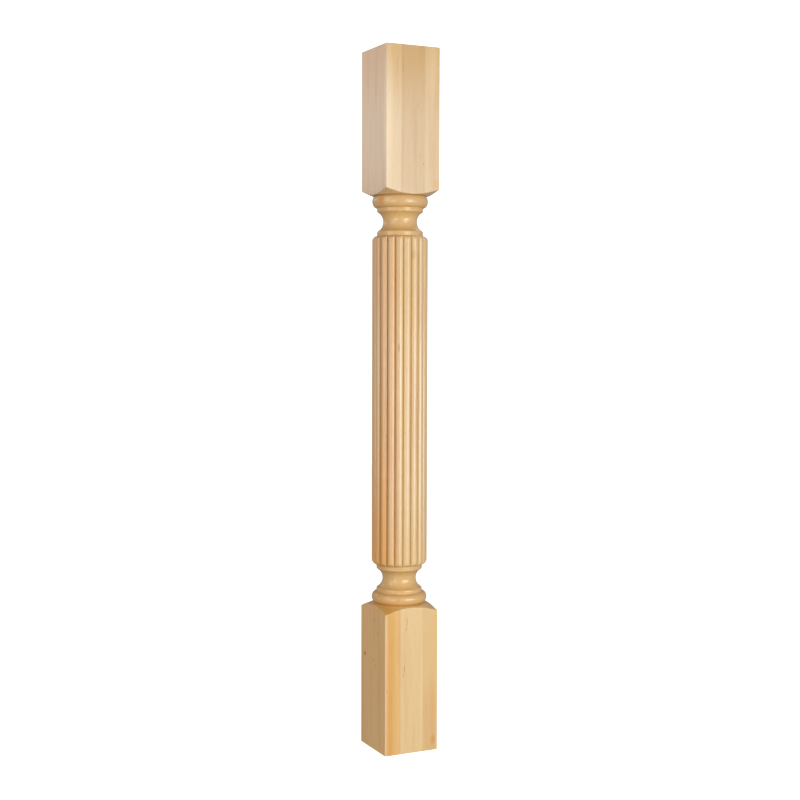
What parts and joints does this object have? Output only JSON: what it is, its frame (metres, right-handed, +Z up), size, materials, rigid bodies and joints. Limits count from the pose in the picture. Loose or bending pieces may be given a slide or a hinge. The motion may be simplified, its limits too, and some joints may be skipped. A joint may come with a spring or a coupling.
{
  "type": "reeded wood post",
  "caption": "Square-ended wood post with a turned, reeded shaft between its blocks, to stand under a worktop, an island or a mantel shelf.",
  "frame": {"origin": "centre of the foot, on the surface that the post stands on", "axes": "+Z up the post, X and Y square to the faces of its blocks"},
  "size_m": [0.0888, 0.0888, 1.0668],
  "materials": {
    "maple": "laminated hard maple under a clear satin lacquer"
  },
  "bodies": {
    "root": {"reeded_post": "maple"}
  },
  "joints": []
}
